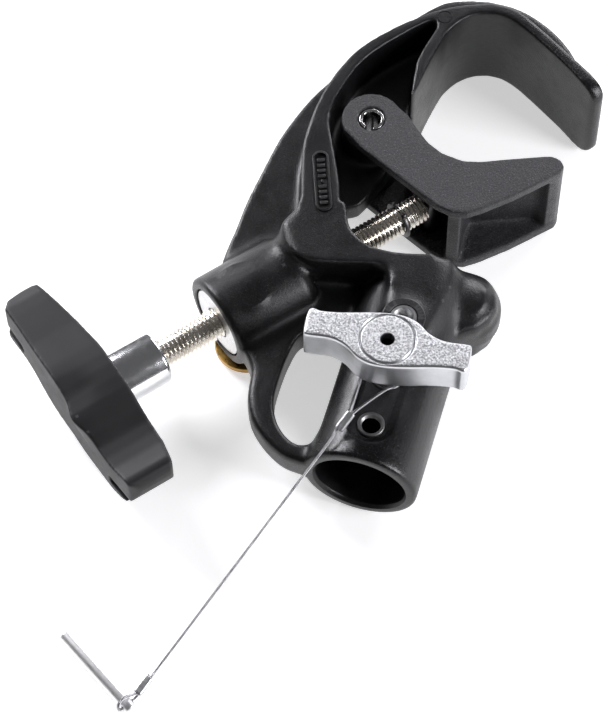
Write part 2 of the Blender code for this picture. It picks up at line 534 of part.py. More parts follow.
def cable_route():
    """Ferrule, once round the wing screw's neck, back through the ferrule, down to the lower ferrule, through the
    pin's cross hole, back over the pin and into the lower ferrule."""
    (c1, d1), (c2, d2) = CRIMPS["ferrule_upper"], CRIMPS["ferrule_lower"]
    right1 = Vector((-d1.y, d1.x, 0)).normalized() * STRAND
    right2 = Vector((-d2.y, d2.x, 0)).normalized() * STRAND
    half = FERRULE_LENGTH / 2
    pin = (PIN_ENDS[1] - PIN_ENDS[0]).normalized()
    out = Vector((pin.y, -pin.x, 0))
    eye = PIN_ENDS[1] - pin * 2.7
    points = [c1 + d1 * (half + 0.4) + right1, c1 + right1, c1 - d1 * (half + 0.3) + right1]
    for degrees, r in ((-78, 6.9), (-45, 6.3), (0, 6.15), (45, 6.15), (90, 6.15), (135, 6.15), (178, 6.3), (212, 7.9)):
        a = math.radians(degrees)
        points.append(NECK + Vector((math.cos(a), math.sin(a), 0)) * r)
    points += [c1 - d1 * (half + 0.3) - right1, c1 - right1, c1 + d1 * (half + 0.8) - right1]
    start, end = c1 + d1 * (half + 5), c2 - d2 * (half + 5) + right2
    points += [start.lerp(end, f) for f in (0.0, 0.2, 0.4, 0.6, 0.8, 1.0)]
    points += [c2 - d2 * (half + 0.5) + right2, c2 + right2, c2 + d2 * (half + 0.2) + right2]
    points += [eye - out * 2.2, eye, eye + out * 2.4, eye + out * 3.7 + UP * 1.2]
    points += [eye + out * 2.6 + UP * 3.1 - pin * 0.6, eye + UP * 3.6 - pin * 1.0]
    points += [c2 + d2 * (half + 0.9) - right2 + UP * 0.5, c2 + d2 * (half - 0.6) - right2]
    points += [c2 - right2, c2 - d2 * (half + 0.9) - right2]
    return points


def spaced(points, step):
    """The same path with its points one step apart."""
    out, left = [points[0]], step
    for a, b in zip(points, points[1:], strict=False):
        length = (b - a).length
        while length >= left:
            a = a.lerp(b, left / length)
            out.append(a)
            length = (b - a).length
            left = step
        left -= length
    return out


def cord(name, points, radius):
    data = bpy.data.curves.new(name, "CURVE")
    data.dimensions = "3D"
    data.bevel_depth, data.bevel_resolution, data.use_fill_caps = radius * MM, 2, True
    spline = data.splines.new("POLY")
    spline.points.add(len(points) - 1)
    shift = Vector((CENTRE[0], CENTRE[1], 0))
    for point, p in zip(spline.points, points, strict=True):
        point.co = (*((p - shift) * MM), 1)
    obj = bpy.data.objects.new(name, data)
    bpy.context.scene.collection.objects.link(obj)
    return obj


cable = cord("tether_cable", spaced(curve(cable_route(), 8), 2.2), CABLE_R)
paint(cable, (0.2, 0.2, 0.21), 0.4, 1.0)

for name, (centre, along) in CRIMPS.items():
    side = Vector((-along.y, along.x, 0)).normalized()
    place = frame_at(centre, side, along.cross(side))
    oval = [(0.6 + p.x, p.y) for p in arc(0, 0, 0.95, -90, 90, 6)]
    oval += [(-x, -y) for x, y in oval]
    hole = [(STRAND + p.x, p.y) for p in arc(0, 0, 0.64, -90, 90, 6)]
    hole += [(-x, -y) for x, y in hole]
    ferrule = prism(name, oval, -FERRULE_LENGTH / 2, FERRULE_LENGTH / 2, place)
    combine(ferrule, [prism("cut", hole, -5, 5, place)], "DIFFERENCE")
    paint(ferrule, (0.45, 0.46, 0.47), 0.4, 1.0)

pin_dir = (PIN_ENDS[1] - PIN_ENDS[0]).normalized()
pin_out = Vector((pin_dir.y, -pin_dir.x, 0))
pin_length = (PIN_ENDS[1] - PIN_ENDS[0]).length
pin = rod("safety_pin", PIN_RADIUS, PIN_ENDS[0], pin_dir, 0, pin_length, 24, 0.4)
combine(pin, [rod("cut", PIN_EYE, PIN_ENDS[1] - pin_dir * 2.7, pin_out, -5, 5, 16)], "DIFFERENCE")
paint(pin, (0.66, 0.67, 0.68), 0.2, 1.0)
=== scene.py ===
"""Pipe clamp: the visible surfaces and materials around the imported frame, with a studio stage.

Lengths are millimetres in the clamp's drawing coordinates (socket axis on x = 0, back of the casting on
z = 0) and become metres in the row frame. s runs across the main screw and t along it.
"""

import math

import bmesh
import bpy
import numpy as np
from mathutils import Matrix, Vector


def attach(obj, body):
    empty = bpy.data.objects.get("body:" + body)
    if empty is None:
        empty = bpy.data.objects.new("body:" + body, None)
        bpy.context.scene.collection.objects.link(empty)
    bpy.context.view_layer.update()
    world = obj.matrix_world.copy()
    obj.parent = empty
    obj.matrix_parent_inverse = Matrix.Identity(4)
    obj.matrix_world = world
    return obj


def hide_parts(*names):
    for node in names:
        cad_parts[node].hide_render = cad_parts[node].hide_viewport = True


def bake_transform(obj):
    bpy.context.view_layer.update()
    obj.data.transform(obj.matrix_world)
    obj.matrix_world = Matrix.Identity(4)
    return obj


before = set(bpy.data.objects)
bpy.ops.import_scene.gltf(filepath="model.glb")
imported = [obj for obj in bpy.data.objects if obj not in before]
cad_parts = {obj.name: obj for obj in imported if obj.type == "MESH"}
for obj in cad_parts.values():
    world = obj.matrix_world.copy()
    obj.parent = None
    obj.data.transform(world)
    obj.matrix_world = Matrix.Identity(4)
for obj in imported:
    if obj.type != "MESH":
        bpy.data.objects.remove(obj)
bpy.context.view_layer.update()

MM = 0.001
CENTRE = Vector((-41.7, -51.9, 0.0))
MID = 19.0
X, Y, UP = Vector((1, 0, 0)), Vector((0, 1, 0)), Vector((0, 0, 1))
AXIS_ANGLE = math.radians(49.2)
AXIS = Vector((math.cos(AXIS_ANGLE), math.sin(AXIS_ANGLE), 0))
ACROSS = Vector((AXIS.y, -AXIS.x, 0))
PIVOT = Vector((-29.7, -12.5, 0))
SCREW_R, PITCH, CLIP_T, TRUNNION_T = 5.0, 1.5, 66.4, 79.0
INSERTS = {"insert_upper": (-82.3, 38.8), "insert_wing": (-102.4, 35.4), "insert_lower": (-119.8, 35.7)}


def on_axis(t, s=0.0, z=MID):
    return Vector((-56.9, -87.2, z)) + AXIS * t + ACROSS * s


def metres(p):
    return (Vector(p) - CENTRE) * MM


# ---- camera --------------------------------------------------------------------------------------
camera = bpy.data.objects.new("camera", bpy.data.cameras.new("camera"))
bpy.context.scene.collection.objects.link(camera)
camera.data.lens, camera.data.sensor_width = 144.69, 36.0
camera.data.clip_start, camera.data.clip_end = 0.05, 20.0
right = Vector((0.960076, 0.279622, -0.008141))
up = Vector((-0.242046, 0.844944, 0.476952))
view = Matrix((right, up, right.cross(up))).transposed().to_4x4()
camera.matrix_world = Matrix.Translation(metres((99.708, -514.426, 826.598))) @ view
bpy.context.scene.camera = camera


# ---- mesh helpers --------------------------------------------------------------------------------
def build(name, verts, faces, sharp=35.0):
    mesh = bpy.data.meshes.new(name)
    mesh.from_pydata([metres(v) for v in verts], [], faces)
    bm = bmesh.new()
    bm.from_mesh(mesh)
    bmesh.ops.remove_doubles(bm, verts=bm.verts, dist=1e-7)
    bmesh.ops.recalc_face_normals(bm, faces=bm.faces)
    bm.to_mesh(mesh)
    bm.free()
    obj = bpy.data.objects.new(name, mesh)
    bpy.context.scene.collection.objects.link(obj)
    return shade(obj, sharp)


def shade(obj, sharp):
    """Shades the object smooth, apart from its edges that are sharper than the angle."""
    obj.data.shade_smooth()
    obj.data.set_sharp_from_angle(angle=math.radians(sharp))
    return obj


def curve(points, steps=8, closed=False):
    """Smooth points through the given ones (Catmull-Rom)."""
    pts = [Vector(p) for p in points]
    n = len(pts)
    out = []
    for i in range(n if closed else n - 1):
        p1, p2 = pts[i], pts[(i + 1) % n]
        p0 = pts[i - 1] if closed or i else p1 * 2 - p2
        p3 = pts[(i + 2) % n] if closed or i + 2 < n else p2 * 2 - p1
        for k in range(steps):
            t = k / steps
            bend = (p0 * 2 - p1 * 5 + p2 * 4 - p3) * t * t + (p1 * 3 - p0 - p2 * 3 + p3) * t**3
            out.append((p1 * 2 + (p2 - p0) * t + bend) / 2)
    return out if closed else out + [pts[-1]]


def arc(cx, cy, r, start, end, n):
    angles = [math.radians(start + (end - start) * i / n) for i in range(n + 1)]
    return [Vector((cx + r * math.cos(a), cy + r * math.sin(a))) for a in angles]


def rounded(points, radius, steps=4):
    """The closed outline with its corners rounded off, except those on a turned profile's axis (x = 0)."""
    pts = [Vector(p) for p in points]
    out = []
    for i, p in enumerate(pts):
        a, b = pts[i - 1] - p, pts[(i + 1) % len(pts)] - p
        reach = min(radius, a.length * 0.45, b.length * 0.45)
        if abs(p.x) < 1e-6 or reach < 1e-4:
            out.append(p)
            continue
        start, end = p + a.normalized() * reach, p + b.normalized() * reach
        for k in range(steps + 1):
            u = k / steps
            out.append(start * (1 - u) ** 2 + p * (2 * u * (1 - u)) + end * u * u)
    return out


def base_of(origin, axis):
    """The origin and three directions, the last of which is the axis."""
    side = UP if abs(axis.z) < 0.9 else X
    x = side.cross(axis).normalized()
    return Vector(origin), x, axis.cross(x), axis


def on_circle(base, angle, r, h):
    """The point at radius r and height h on the base's axis."""
    o, x, y, z = base
    return o + z * h + (x * math.cos(angle) + y * math.sin(angle)) * r


def bands(rings, closed=False):
    """The faces between each ring of vertices and the next."""
    followers = rings[1:] + (rings[:1] if closed else [])
    return [
        [a[k], a[(k + 1) % len(a)], b[(k + 1) % len(a)], b[k]]
        for a, b in zip(rings, followers)
        for k in range(len(a))
    ]


def lathe(name, profile, origin, axis, radius=0.25, segments=96):
    """The closed profile of (radius, height), its corners rounded by radius, turned round the axis."""
    base = base_of(origin, axis)
    verts, rings = [], []
    for r, h in rounded(profile, radius):
        count = 1 if r < 1e-6 else segments
        rings.append(list(range(len(verts), len(verts) + count)))
        verts += [on_circle(base, 2 * math.pi * k / count, r, h) for k in range(count)]
    faces = []
    for a, b in zip(rings, rings[1:] + rings[:1]):
        if len(a) == len(b) == 1:
            continue
        for k in range(segments):
            j = (k + 1) % segments
            corners = [a[k % len(a)], b[k % len(b)], b[j % len(b)], a[j % len(a)]]
            faces.append([c for i, c in enumerate(corners) if c not in corners[:i]])
    return build(name, verts, faces)


def prism(name, outline, low, high, place=None, bevel=0.0):
    """The outline raised from low to high with rounded rims; place maps it to drawing coordinates."""
    bm = bmesh.new()
    floor = bm.faces.new([bm.verts.new((p[0], p[1], low)) for p in outline])
    raised = bmesh.ops.extrude_face_region(bm, geom=[floor])
    verts = [e for e in raised["geom"] if isinstance(e, bmesh.types.BMVert)]
    bmesh.ops.translate(bm, verts=verts, vec=(0, 0, high - low))
    if bevel:
        rims = [e for e in bm.edges if abs(e.verts[0].co.z - e.verts[1].co.z) < 1e-6]
        bmesh.ops.bevel(bm, geom=rims, offset=bevel, segments=3, profile=0.5, affect="EDGES")
    if place:
        bm.transform(place)
    verts = [v.co.copy() for v in bm.verts]
    bm.verts.index_update()
    faces = [[v.index for v in f.verts] for f in bm.faces]
    bm.free()
    return build(name, verts, faces)


def frame_at(origin, x, y):
    """Maps a plane drawn in x and y, and heights above it, to drawing coordinates."""
    return Matrix.Translation(origin) @ Matrix((x, y, x.cross(y))).transposed().to_4x4()


def rod(name, r, origin, axis, low, high, radius=0.0, segments=96):
    return lathe(name, [(0, low), (r, low), (r, high), (0, high)], origin, axis, radius, segments)


def tube(name, outer, inner, origin, axis, low, high, radius=0.3):
    return lathe(name, [(inner, low), (outer, low), (outer, high), (inner, high)], origin, axis, radius)


def swept(name, path, section, turns=0.0):
    """A tube along the path: section is a list of (angle, radius), and it twists turns times."""
    pts = [Vector(p) for p in path]
    normal = (pts[1] - pts[0]).orthogonal().normalized()
    verts, rings = [], []
    for i, p in enumerate(pts):
        along = (pts[min(i + 1, len(pts) - 1)] - pts[max(i - 1, 0)]).normalized()
        normal = (normal - along * normal.dot(along)).normalized()
        other = along.cross(normal)
        twist = 2 * math.pi * turns * i / (len(pts) - 1)
        rings.append(list(range(len(verts), len(verts) + len(section))))
        for a, r in section:
            verts.append(p + (normal * math.cos(a + twist) + other * math.sin(a + twist)) * r)
    return build(name, verts, [rings[0][::-1], rings[-1], *bands(rings)], 60)


def boolean(target, others, operation):
    """Adds the others to the target or cuts them from it, and removes them."""
    for other in others:
        step = target.modifiers.new(operation, "BOOLEAN")
        step.operation, step.solver, step.object = operation, "MANIFOLD", other
        apply(target)
        bpy.data.objects.remove(other, do_unlink=True)
    return target


def apply(obj):
    """Turns the object's modifiers into its mesh."""
    graph = bpy.context.evaluated_depsgraph_get()
    graph.update()
    made = bpy.data.meshes.new_from_object(obj.evaluated_get(graph))
    obj.modifiers.clear()
    obj.data = made
    return obj


def coords(mesh):
    co = np.empty(len(mesh.vertices) * 3)
    mesh.vertices.foreach_get("co", co)
    return co.reshape(-1, 3)


def set_coords(mesh, co):
    mesh.vertices.foreach_set("co", co.ravel())
    mesh.update()


FILL_STEP = 0.004 * MM  # a fill round moves a vertex fully where it would rise by this much


def cast(obj, voxel, even, fill, mask=None, soft=()):
    """Makes the surface one even skin, as a casting has: even rounds soften all of it, and fill rounds
    then raise only its inside corners, where mask (of points in mm) lets them. soft lists balls
    (centre, radius, rounds) in which the form is rounded further."""
    step = obj.modifiers.new("skin", "REMESH")
    step.mode, step.voxel_size = "VOXEL", voxel * MM
    apply(obj)
    mesh = obj.data
    co = coords(mesh)
    ends = np.empty(len(mesh.edges) * 2, np.int64)
    mesh.edges.foreach_get("vertices", ends)
    a, b = ends[::2], ends[1::2]
    count = np.bincount(ends, minlength=len(co))[:, None]
    rows, cols = np.concatenate([a, b]), np.concatenate([b, a])
    order = np.argsort(rows, kind="stable")
    cols, starts = cols[order], np.concatenate([[0], np.cumsum(count[:-1, 0])])

    def pull():
        """The way from each vertex to the mean of its neighbours."""
        return np.add.reduceat(co[cols], starts, axis=0) / count - co

    for _ in range(even):
        co += pull() * 0.5
    weight = np.ones(len(co)) if mask is None else mask(co / MM + np.array(CENTRE))
    for i in range(fill):
        if i % 4 == 0:
            set_coords(mesh, co)
            normals = np.empty(len(co) * 3, np.float32)
            mesh.vertex_normals.foreach_get("vector", normals)
            normals = normals.reshape(-1, 3)
        move = pull()
        out = (move * normals).sum(1)
        co += move * (0.5 * np.clip(out / FILL_STEP, 0, 1) * weight)[:, None]
    for centre, radius, rounds in soft:
        far = np.linalg.norm(co / MM + np.array(CENTRE) - np.array(centre), axis=1)
        inside = np.flatnonzero(far < radius)
        blend = (1 - (far[inside] / radius) ** 2)[:, None]
        many = count[inside, 0]
        first = np.concatenate([[0], np.cumsum(many[:-1])])
        around = cols[np.repeat(starts[inside] - first, many) + np.arange(many.sum())]
        for _ in range(rounds):
            mean = np.add.reduceat(co[around], first, axis=0) / many[:, None]
            co[inside] += (mean - co[inside]) * 0.5 * blend
    for _ in range(2):
        co += pull() * 0.5
    set_coords(mesh, co)
    mesh.shade_smooth()
    return obj


def copy_of(node, name):
    """A new object with the CAD node's shape."""
    obj = bpy.data.objects.new(name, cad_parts[node].data.copy())
    bpy.context.scene.collection.objects.link(obj)
    bm = bmesh.new()
    bm.from_mesh(obj.data)
    bmesh.ops.remove_doubles(bm, verts=bm.verts, dist=1e-6)
    bm.to_mesh(obj.data)
    bm.free()
    return obj


def thread(name, outer, inner, low, high, origin, axis, pitch=PITCH, limit=None):
    """A right-hand screw thread as one closed skin; limit(t) may lower the radius along it."""
    segments, rows_per_turn = 40, 8
    base = base_of(origin, axis)
    rows = int((high - low) / pitch * rows_per_turn)
    verts, rings = [], []
    for i in range(rows + 1):
        t = low + (high - low) * i / rows
        lead = min(1, (t - low) / pitch, (high - t) / pitch)
        rings.append(list(range(len(verts), len(verts) + segments)))
        for k in range(segments):
            phase = (t / pitch - k / segments) % 1
            crest = min(1, max(0, 2.6 * abs(phase - 0.5) - 0.15))
            r = inner + (outer - inner) * crest * (0.35 + 0.65 * lead)
            r = min(r, limit(t)) if limit else r
            verts.append(on_circle(base, 2 * math.pi * k / segments, r, t))
    return build(name, verts, [rings[0][::-1], rings[-1], *bands(rings)], 50)


# ---- material helpers ----------------------------------------------------------------------------
class Look:
    """A node material, written as calls that add one node each."""

    def __init__(self, name, **sockets):
        self.material = bpy.data.materials.new(name)
        self.material.use_nodes = True
        self.tree = self.material.node_tree
        self.shader = self.tree.nodes["Principled BSDF"]
        self.place = self.add("ShaderNodeTexCoord").outputs["Object"]
        for key, value in sockets.items():
            self.shader.inputs[key.replace("_", " ")].default_value = value
        self.height = None

    def add(self, kind, inputs=(), **settings):
        node = self.tree.nodes.new(kind)
        for key, value in settings.items():
            setattr(node, key, value)
        for key, value in dict(inputs).items():
            self.feed(node.inputs[key], value)
        return node

    def feed(self, socket, value):
        if isinstance(value, bpy.types.NodeSocket):
            self.tree.links.new(value, socket)
        else:
            socket.default_value = value

    def noise(self, scale, detail=2.0, rough=0.5, stretch=None, warp=0.0):
        place = self.place
        if stretch:
            place = self.add("ShaderNodeMapping", {"Vector": place, **stretch}).outputs[0]
        return self.add(
            "ShaderNodeTexNoise",
            {"Vector": place, "Scale": scale, "Detail": detail, "Roughness": rough, "Distortion": warp},
        ).outputs["Fac"]

    def cells(self, scale):
        return self.add("ShaderNodeTexVoronoi", {"Vector": self.place, "Scale": scale}).outputs["Distance"]

    def ramp(self, value, low, high, start=0.0, end=1.0):
        ends = {1: low, 2: high, 3: start, 4: end}
        return self.add("ShaderNodeMapRange", {0: value, **ends}, clamp=True).outputs[0]

    def math(self, operation, *values):
        return self.add("ShaderNodeMath", dict(enumerate(values)), operation=operation).outputs[0]

    def mix(self, factor, a, b):
        node = self.add("ShaderNodeMix", {"Factor": factor}, data_type="RGBA")
        for socket, value in zip([s for s in node.inputs if s.type == "RGBA"], (a, b)):
            self.feed(socket, (*value, 1) if isinstance(value, tuple) else value)
        return next(s for s in node.outputs if s.type == "RGBA")

    def edges(self, low=0.52, high=0.6):
        """1 on the mesh's outer edges."""
        return self.ramp(self.add("ShaderNodeNewGeometry").outputs["Pointiness"], low, high)

    def near(self, centre, radius, soft=0.6):
        """1 inside the ball round centre (in mm), fading to 0 at radius."""
        far = self.add("ShaderNodeVectorMath", {0: self.place, 1: metres(centre)}, operation="DISTANCE")
        return self.ramp(far.outputs["Value"], radius * MM * soft, radius * MM, 1, 0)

    def colour(self, value):
        self.feed(self.shader.inputs["Base Color"], (*value, 1) if isinstance(value, tuple) else value)

    def rough(self, value):
        self.feed(self.shader.inputs["Roughness"], value)

    def bump(self, height, distance, strength=1.0):
        """Adds a height in mm to the bumps so far."""
        amount = {"Distance": distance * MM, "Strength": strength}
        node = self.add("ShaderNodeBump", {"Height": height, **amount})
        if self.height:
            self.feed(node.inputs["Normal"], self.height)
        self.height = node.outputs[0]
        self.feed(self.shader.inputs["Normal"], self.height)


def powder_coat(name, dark, light, rough, grain, edge_wear_and_highlight):
    """A grainy coat with pale specks and outer edges lightened, partly wear and partly a painted highlight
    along the rims, smoother on the flat in the socket's front.
    """
    look = Look(name, Specular_IOR_Level=0.42)
    blotch = look.noise(90, 3, 0.6)
    fine = look.noise(1700, 3, 0.75)
    specks = look.ramp(look.noise(2000, 2, 0.6), 0.6, 0.72)
    tone = look.mix(look.ramp(fine, 0.35, 0.65), dark, light)
    tone = look.mix(specks, tone, tuple(c * 3.5 for c in light))
    # The outer edges are mixed towards pale grey: partly edge wear, partly a painted highlight along the
    # rims.
    tone = look.mix(look.math("MULTIPLY", look.edges(), edge_wear_and_highlight), tone, (0.16, 0.16, 0.165))
    look.colour(tone)
    worn = look.ramp(look.noise(160, 5, 0.65, warp=0.4), 0.56, 0.66)
    base = look.ramp(blotch, 0.3, 0.7, rough - 0.05, rough + 0.06)
    base = look.math("ADD", base, look.math("MULTIPLY", worn, 0.06))
    recess = look.near((0, -112, 34), 26, 0.75)
    look.rough(look.math("SUBTRACT", base, look.math("MULTIPLY", recess, 0.14)))
    look.bump(fine, grain)
    look.bump(look.noise(320, 2, 0.5), grain * 0.8, 0.6)
    return look


def metal(name, colour, rough, tint, scale=900, bump=0.004, spread=0.06):
    """A metal that is cloudy between colour and tint."""
    look = Look(name, Metallic=1.0)
    cloud = look.noise(scale * 0.2, 4, 0.6)
    fine = look.noise(scale, 3, 0.65)
    look.colour(look.mix(look.ramp(cloud, 0.35, 0.7), colour, tint))
    look.rough(look.ramp(fine, 0.3, 0.75, rough - spread * 0.5, rough + spread))
    look.bump(fine, bump)
    return look


def finish(obj, look, body, node):
    """Gives the piece its look and its body, and hides the CAD node that it stands for."""
    obj.data.materials.clear()
    obj.data.materials.append(look.material)
    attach(obj, body)
    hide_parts(node)


# ---- looks ---------------------------------------------------------------------------------------
coat = powder_coat(
    "black_powder_coat", (0.001, 0.001, 0.0012), (0.0075, 0.0075, 0.0085), rough=0.33, grain=0.1, edge_wear_and_highlight=0.2
)
scuffs = coat.math(
    "MULTIPLY",
    coat.near((8, 30, 19), 36, 0.5),
    coat.ramp(coat.noise(420, 5, 0.75, {"Scale": (1.0, 1.0, 0.35)}, 0.6), 0.6, 0.68),
)
coat.bump(scuffs, 0.04, 0.6)
# The jaw's black coat gets a lighter grey tone as a painted sheen of the light on its flat plates, over its
# real grain and specks.
coat_jaw = powder_coat(
    "black_coat_with_painted_sheen", (0.001, 0.001, 0.0014), (0.034, 0.034, 0.038), rough=0.42, grain=0.36, edge_wear_and_highlight=0.4
)
zinc = metal("zinc_plate_warm", (0.92, 0.89, 0.83), 0.24, (0.72, 0.67, 0.6), 700, 0.004)
bright = metal("bright_steel", (0.72, 0.72, 0.72), 0.16, (0.6, 0.6, 0.61), 800, 0.003)
polished = metal("polished_zinc", (0.92, 0.93, 0.95), 0.15, (0.84, 0.85, 0.88), 500, 0.0015, 0.05)
pin_steel = metal("pin_steel", (0.98, 0.98, 0.98), 0.42, (0.9, 0.9, 0.91), 700, 0.002, 0.06)
plated = metal("dull_plate", (0.74, 0.74, 0.74), 0.3, (0.64, 0.64, 0.65), 900, 0.004, 0.1)
dark_steel = metal("phosphated_steel", (0.06, 0.06, 0.065), 0.34, (0.1, 0.1, 0.1), 900, 0.004)
insert_steel = metal("insert_steel", (0.34, 0.34, 0.34), 0.42, (0.2, 0.2, 0.2), 900, 0.004)
brass = metal("tarnished_brass", (0.50, 0.31, 0.09), 0.3, (0.30, 0.16, 0.04), 600, 0.006, 0.14)
wire = metal("wire_rope", (0.42, 0.42, 0.43), 0.3, (0.26, 0.26, 0.27), 1500, 0.004)
crimp = metal("crimped_sleeve", (0.62, 0.63, 0.64), 0.36, (0.4, 0.41, 0.42), 900, 0.01, 0.12)

casting = Look("tumbled_casting", Metallic=1.0)
normal = casting.add("ShaderNodeNewGeometry").outputs["Normal"]
facing = casting.ramp(casting.add("ShaderNodeSeparateXYZ", {0: normal}).outputs["Z"], 0.8, 0.97)
pits = casting.noise(1500, 4, 0.75)
pitted = casting.mix(casting.ramp(pits, 0.38, 0.64), (0.2, 0.205, 0.21), (0.84, 0.85, 0.86))
cloudy = casting.mix(casting.noise(220, 4, 0.6), (0.5, 0.51, 0.53), (0.74, 0.75, 0.77))
shown = casting.mix(facing, cloudy, pitted)
# Painted shade: near-black colour at the bottom of the wing's top hole.
painted_hole_shade = casting.near((0, -102.4, 51), 5.5, 0.9)
casting.colour(casting.mix(painted_hole_shade, shown, (0.03, 0.03, 0.03)))
casting.rough(casting.ramp(facing, 0, 1, 0.3, 0.42))
casting.bump(pits, 0.22, casting.ramp(facing, 0, 1, 0.03, 0.9))
casting.bump(casting.cells(420), 0.05, casting.ramp(facing, 0, 1, 0.03, 0.3))

nylon = Look("black_nylon", Specular_IOR_Level=0.42)
normal = nylon.add("ShaderNodeNewGeometry").outputs["Normal"]
away = nylon.add("ShaderNodeVectorMath", {0: normal, 1: -AXIS}, operation="DOT_PRODUCT")
outer = nylon.ramp(away.outputs["Value"], 0.55, 0.85)
dusty = nylon.math("MULTIPLY", outer, nylon.ramp(nylon.noise(420, 5, 0.75), 0.35, 0.75))
worn = nylon.math("MAXIMUM", nylon.math("MULTIPLY", nylon.edges(0.51, 0.57), 0.7), dusty)
nylon.colour(nylon.mix(worn, (0.006, 0.0058, 0.0066), (0.06, 0.06, 0.063)))
nylon.rough(nylon.ramp(nylon.noise(70, 3, 0.6), 0.3, 0.7, 0.48, 0.6))
nylon.bump(nylon.noise(1500, 2, 0.5), 0.014, 0.8)
drawn_out = {"Scale": (3.0, 0.35, 1.5), "Rotation": (0.3, 0.2, 0.5)}
scratches = nylon.ramp(nylon.noise(260, 4, 0.7, drawn_out, 1.2), 0.64, 0.7)
nylon.bump(scratches, 0.003, 0.3)


# ---- safety tether: the rope, two crimped sleeves and the loose pin ------------------------------
CABLE_R, STRAND, SLEEVE = 0.45, 0.52, 6.4
NECK = Vector((0.0, -102.4, 39.2))
CRIMPS = {
    "ferrule_upper": (Vector((-7.5, -122.7, 39.0)), Vector((-0.39, -0.86, -0.33)).normalized()),
    "ferrule_lower": (Vector((-46.9, -209.0, 2.9)), Vector((-0.30, -0.953, 0.0)).normalized()),
}
PIN_START, PIN_END = Vector((-75.7, -199.4, 2.2)), Vector((-47.6, -217.6, 2.2))
PIN_DIR = (PIN_END - PIN_START).normalized()
PIN_OUT = Vector((PIN_DIR.y, -PIN_DIR.x, 0))
PIN_LENGTH, PIN_RADIUS, PIN_EYE = (PIN_END - PIN_START).length, 2.15, 1.0


def cable_route():
    """Sleeve, once round the wing screw's neck, back through the sleeve, down to the lower sleeve, through
    the pin's cross hole, back over the pin and into the lower sleeve."""
    (c1, d1), (c2, d2) = CRIMPS.values()
    right1 = Vector((-d1.y, d1.x, 0)).normalized() * STRAND
    right2 = Vector((-d2.y, d2.x, 0)).normalized() * STRAND
    half = SLEEVE / 2
    eye = PIN_END - PIN_DIR * 2.7
    points = [c1 + d1 * (half + 0.4) + right1, c1 + right1, c1 - d1 * (half + 0.3) + right1]
    turn = ((-78, 6.9), (-45, 6.3), (0, 6.15), (45, 6.15), (90, 6.15), (135, 6.15), (178, 6.3), (212, 7.9))
    for degrees, r in turn:
        a = math.radians(degrees)
        points.append(NECK + Vector((math.cos(a), math.sin(a), 0)) * r)
    points += [c1 - d1 * (half + 0.3) - right1, c1 - right1, c1 + d1 * (half + 0.8) - right1]
    start, end = c1 + d1 * (half + 5), c2 - d2 * (half + 5) + right2
    points += [start.lerp(end, f) for f in (0.0, 0.2, 0.4, 0.6, 0.8, 1.0)]
    points += [c2 - d2 * (half + 0.5) + right2, c2 + right2, c2 + d2 * (half + 0.2) + right2]
    points += [eye - PIN_OUT * 2.2, eye, eye + PIN_OUT * 2.4, eye + PIN_OUT * 3.15 + UP * 1.2]
    points += [eye + PIN_OUT * 2.6 + UP * 3.1 - PIN_DIR * 0.6, eye + UP * 3.6 - PIN_DIR * 1.0]
    points += [c2 + d2 * (half + 0.9) - right2 + UP * 0.5, c2 + d2 * (half - 0.6) - right2]
    points += [c2 - right2, c2 - d2 * (half + 0.9) - right2]
    return points


def spaced(points, step):
    """The same path with its points one step apart."""
    out, left = [points[0]], step
    for a, b in zip(points, points[1:]):
        length = (b - a).length
        while length >= left:
            a = a.lerp(b, left / length)
            out.append(a)
            length = (b - a).length
            left = step
        left -= length
    return out


route = spaced(curve(cable_route(), 16), 0.3)
length = sum((b - a).length for a, b in zip(route, route[1:]))
angles = [2 * math.pi * k / 42 for k in range(42)]
strands = [(a, CABLE_R * (0.8 + 0.2 * abs(math.cos(3.5 * a)))) for a in angles]
rope = swept("wire_rope", route, strands, length / 4.2)
finish(rope, wire, "frame", "tether_cable")

for node, (centre, along) in CRIMPS.items():
    side = Vector((-along.y, along.x, 0)).normalized()
    place = frame_at(centre, side, along.cross(side))
    oval = [(0.6 + p.x, p.y) for p in arc(0, 0, 0.95, -90, 90, 16)]
    oval += [(-x, -y) for x, y in oval]
    sleeve = prism(node + "_sleeve", oval, -SLEEVE / 2, SLEEVE / 2, place, 0.25)
    grooves = []
    for along_sleeve in (-1.5, 1.5):
        for way in (1, -1):
            bar = [(-3.0, way * 0.9), (3.0, way * 0.9), (3.0, way * 2.0), (-3.0, way * 2.0)][::way]
            grooves.append(prism("cut", bar, along_sleeve - 0.35, along_sleeve + 0.35, place))
    boolean(sleeve, grooves, "DIFFERENCE")
    cast(sleeve, 0.1, 4, 8)
    hole = [(STRAND + p.x, p.y) for p in arc(0, 0, 0.62, -90, 90, 12)]
    hole += [(-x, -y) for x, y in hole]
    boolean(sleeve, [prism("cut", hole, -5, 5, place)], "DIFFERENCE")
    shade(sleeve, 50)
    finish(sleeve, crimp, "frame", node)

half_edge = [(0, 0), (1.5, 0), (PIN_RADIUS, 0.55)]
edge = half_edge + [(r, PIN_LENGTH - h) for r, h in half_edge[::-1]]
pin = lathe("tether_pin", edge, PIN_START, PIN_DIR, 0.25)
eye = [(0, -5), (1.9, -5), (1.9, -2.3), (PIN_EYE, -1.6), (PIN_EYE, 1.6), (1.9, 2.3), (1.9, 5), (0, 5)]
boolean(pin, [lathe("cut", eye, PIN_END - PIN_DIR * 2.7, PIN_OUT, 0.2)], "DIFFERENCE")
shade(pin, 40)
finish(pin, pin_steel, "frame", "safety_pin")

metres(cable_route()[0])


# ---- frame casting -------------------------------------------------------------------------------
def join(obj, others):
    """Moves the others' shapes into obj's mesh."""
    bm = bmesh.new()
    bm.from_mesh(obj.data)
    for other in others:
        bm.from_mesh(other.data)
        bpy.data.objects.remove(other, do_unlink=True)
    bm.to_mesh(obj.data)
    bm.free()
    return obj


